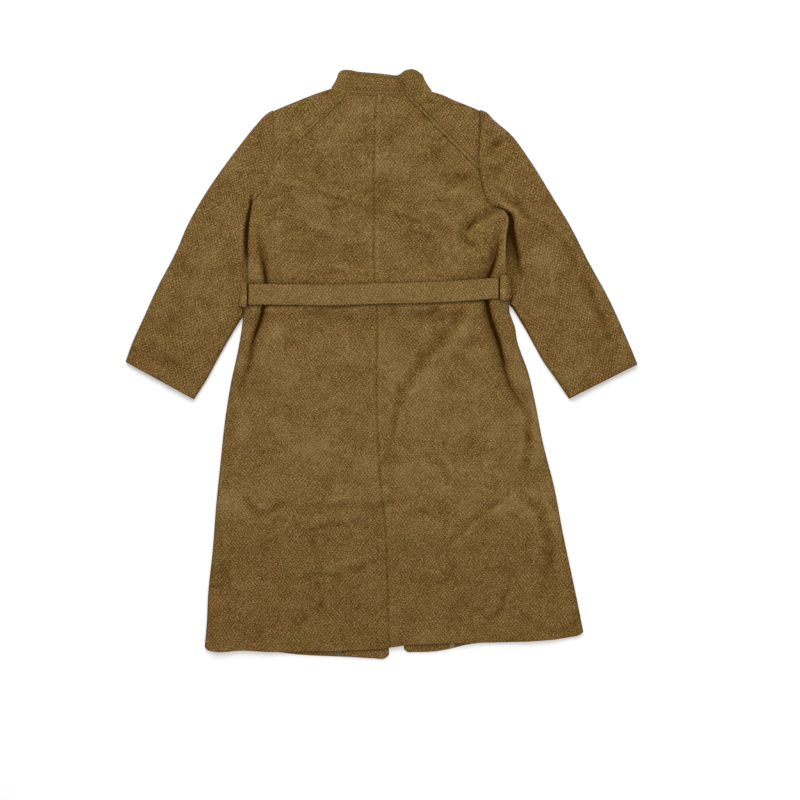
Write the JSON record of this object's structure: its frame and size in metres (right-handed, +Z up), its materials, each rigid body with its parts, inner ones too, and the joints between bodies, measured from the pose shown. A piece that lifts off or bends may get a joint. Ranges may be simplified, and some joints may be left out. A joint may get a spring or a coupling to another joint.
{
  "type": "midi coat",
  "caption": "Belted wool tweed midi coat with a stand collar, back saddle yokes and long sleeves, laid flat face down.",
  "frame": {"origin": "middle of the coat's footprint, on the surface it lies on", "axes": "+Y up the coat's length from hem to collar, +X across the coat towards the sleeve that is the wearer's right, +Z up off the surface, out of the coat's back"},
  "size_m": [1.025, 1.1778, 0.0185],
  "materials": {
    "wool_tweed": "napped olive brown barleycorn tweed, fulled wool coating",
    "lining_twill": "smooth grey brown lining twill"
  },
  "bodies": {
    "root": {"front_left": "wool_tweed", "front_right": "wool_tweed", "back_left": "wool_tweed", "back_right": "wool_tweed", "yoke_left": "wool_tweed", "yoke_right": "wool_tweed", "sleeve_left": "wool_tweed", "sleeve_right": "wool_tweed", "collar": "wool_tweed", "belt": "wool_tweed", "belt_loop_left": "wool_tweed", "belt_loop_right": "wool_tweed", "facing_left": "wool_tweed", "facing_right": "wool_tweed", "lining_left": "lining_twill", "lining_right": "lining_twill"}
  },
  "joints": []
}
